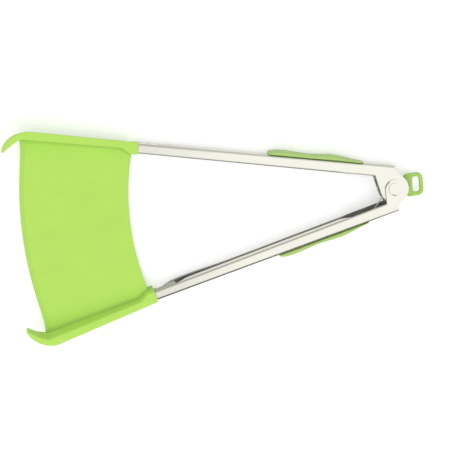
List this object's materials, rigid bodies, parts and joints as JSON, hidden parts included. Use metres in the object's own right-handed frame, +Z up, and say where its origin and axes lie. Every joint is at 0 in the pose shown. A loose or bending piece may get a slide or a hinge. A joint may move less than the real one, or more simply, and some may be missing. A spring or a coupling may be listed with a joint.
{
  "type": "spatula tongs",
  "caption": "Hinged tongs with steel channel arms and hooked silicone jaws that a thin silicone web joins into a scoop.",
  "frame": {"origin": "The hinge axis, on the flat underside of the pivot pin's lower head, in the plane on which the open tongs lie.", "axes": "+Z up along the hinge axis; the jaws point towards -X and the tail ring towards +X; the arms close towards the plane y = 0; arm_a lies on -Y and arm_b on +Y."},
  "size_m": [0.2982, 0.1544, 0.0233],
  "materials": {
    "lime_silicone": "matt moulded silicone",
    "green_nylon": "fine texture",
    "satin_steel": "satin",
    "spring_steel": "drawn wire",
    "pale_nylon": "plain"
  },
  "bodies": {
    "hinge_core": {"pivot_pin": "satin_steel", "spring_bush": "pale_nylon", "spring": "spring_steel", "web": "lime_silicone"},
    "arm_a": {"arm_a": "satin_steel", "grip_a": "lime_silicone", "jaw_core_a": "green_nylon", "jaw_cover_a": "lime_silicone", "tang_rivet_a_1": "satin_steel", "tang_rivet_a_2": "satin_steel"},
    "arm_b": {"arm_b": "satin_steel", "grip_b": "lime_silicone", "jaw_core_b": "green_nylon", "jaw_cover_b": "lime_silicone", "tang_rivet_b_1": "satin_steel", "tang_rivet_b_2": "satin_steel"},
    "lock": {"lock_slide": "satin_steel", "pull_ring": "green_nylon", "ring_pin": "satin_steel"}
  },
  "joints": [
    {"name": "arm_b_hinge", "type": "hinge", "parent": "hinge_core", "child": "arm_b", "pos_m": [0, 0, 0], "axis": [0, 0, 1], "range_deg": [0, 13.2], "stiffness_Nm_per_rad": 0.6, "springref_deg": -11.46, "deforming": ["spring", "web"]},
    {"name": "arm_a_hinge", "type": "hinge", "parent": "hinge_core", "child": "arm_a", "pos_m": [0, 0, 0], "axis": [0, 0, 1], "range_deg": [-13.2, 0]},
    {"name": "lock_travel", "type": "slide", "parent": "hinge_core", "child": "lock", "axis": [1, 0, 0], "range_m": [0, 0.0045]}
  ],
  "couplings": [
    {"joint": "arm_a_hinge", "follows": "arm_b_hinge", "ratio": -1}
  ]
}
